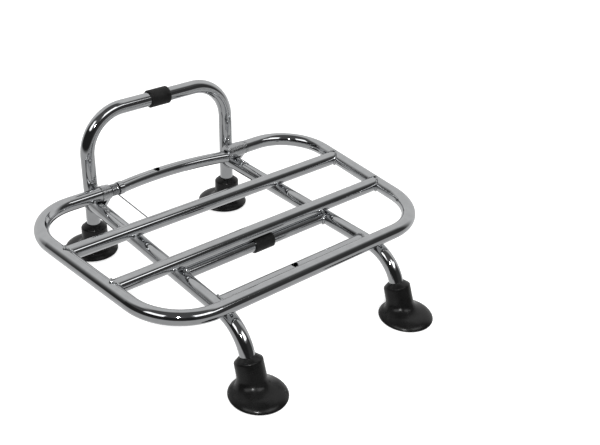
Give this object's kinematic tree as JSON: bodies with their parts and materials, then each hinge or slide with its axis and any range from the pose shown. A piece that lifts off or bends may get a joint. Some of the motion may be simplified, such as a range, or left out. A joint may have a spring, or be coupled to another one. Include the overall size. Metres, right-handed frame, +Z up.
{
  "type": "motorcycle luggage rack",
  "caption": "Folding luggage rack of chromed tube on rubber feet: a sprung tray loop with cross bars hinges on a low frame and leans on the rear hoop when raised.",
  "frame": {"origin": "centre of the outline, on the floor under the feet", "axes": "+X along the hinge, to the side of the outer washers; +Y from the tray's front to the hoop; +Z up"},
  "size_m": [0.4038, 0.3766, 0.1782],
  "materials": {
    "chrome": "polished",
    "zinc_steel": "satin",
    "spring_steel": "satin",
    "rubber": "satin"
  },
  "bodies": {
    "frame": {"hoop": "chrome", "hoop_sleeve": "rubber", "left_rail": "chrome", "right_rail": "chrome", "front_cross_tube": "chrome", "middle_cross_tube": "chrome", "middle_sleeve": "rubber", "rear_cross_tube": "chrome", "left_hinge_boss": "chrome", "right_hinge_boss": "chrome", "left_ear_plate": "chrome", "right_ear_plate": "chrome", "left_hinge_pin": "zinc_steel", "right_hinge_pin": "zinc_steel", "left_washer": "zinc_steel", "spring_seat": "chrome", "right_inner_washer": "zinc_steel", "right_middle_washer": "zinc_steel", "right_outer_washer": "zinc_steel", "front_left_foot": "rubber", "front_right_foot": "rubber", "rear_left_foot": "rubber", "rear_right_foot": "rubber"},
    "tray": {"tray_loop": "chrome", "tray_rear_bar": "chrome", "tray_front_bar": "chrome", "left_bearing_bush": "zinc_steel", "right_bearing_bush": "zinc_steel", "torsion_spring": "spring_steel"}
  },
  "joints": [
    {"name": "tray_hinge", "type": "hinge", "parent": "frame", "child": "tray", "pos_m": [0, 0.13872, 0.0815], "axis": [-1, 0, 0], "range_deg": [0, 94.9], "stiffness_Nm_per_rad": 0.3, "springref_deg": 100.27}
  ]
}
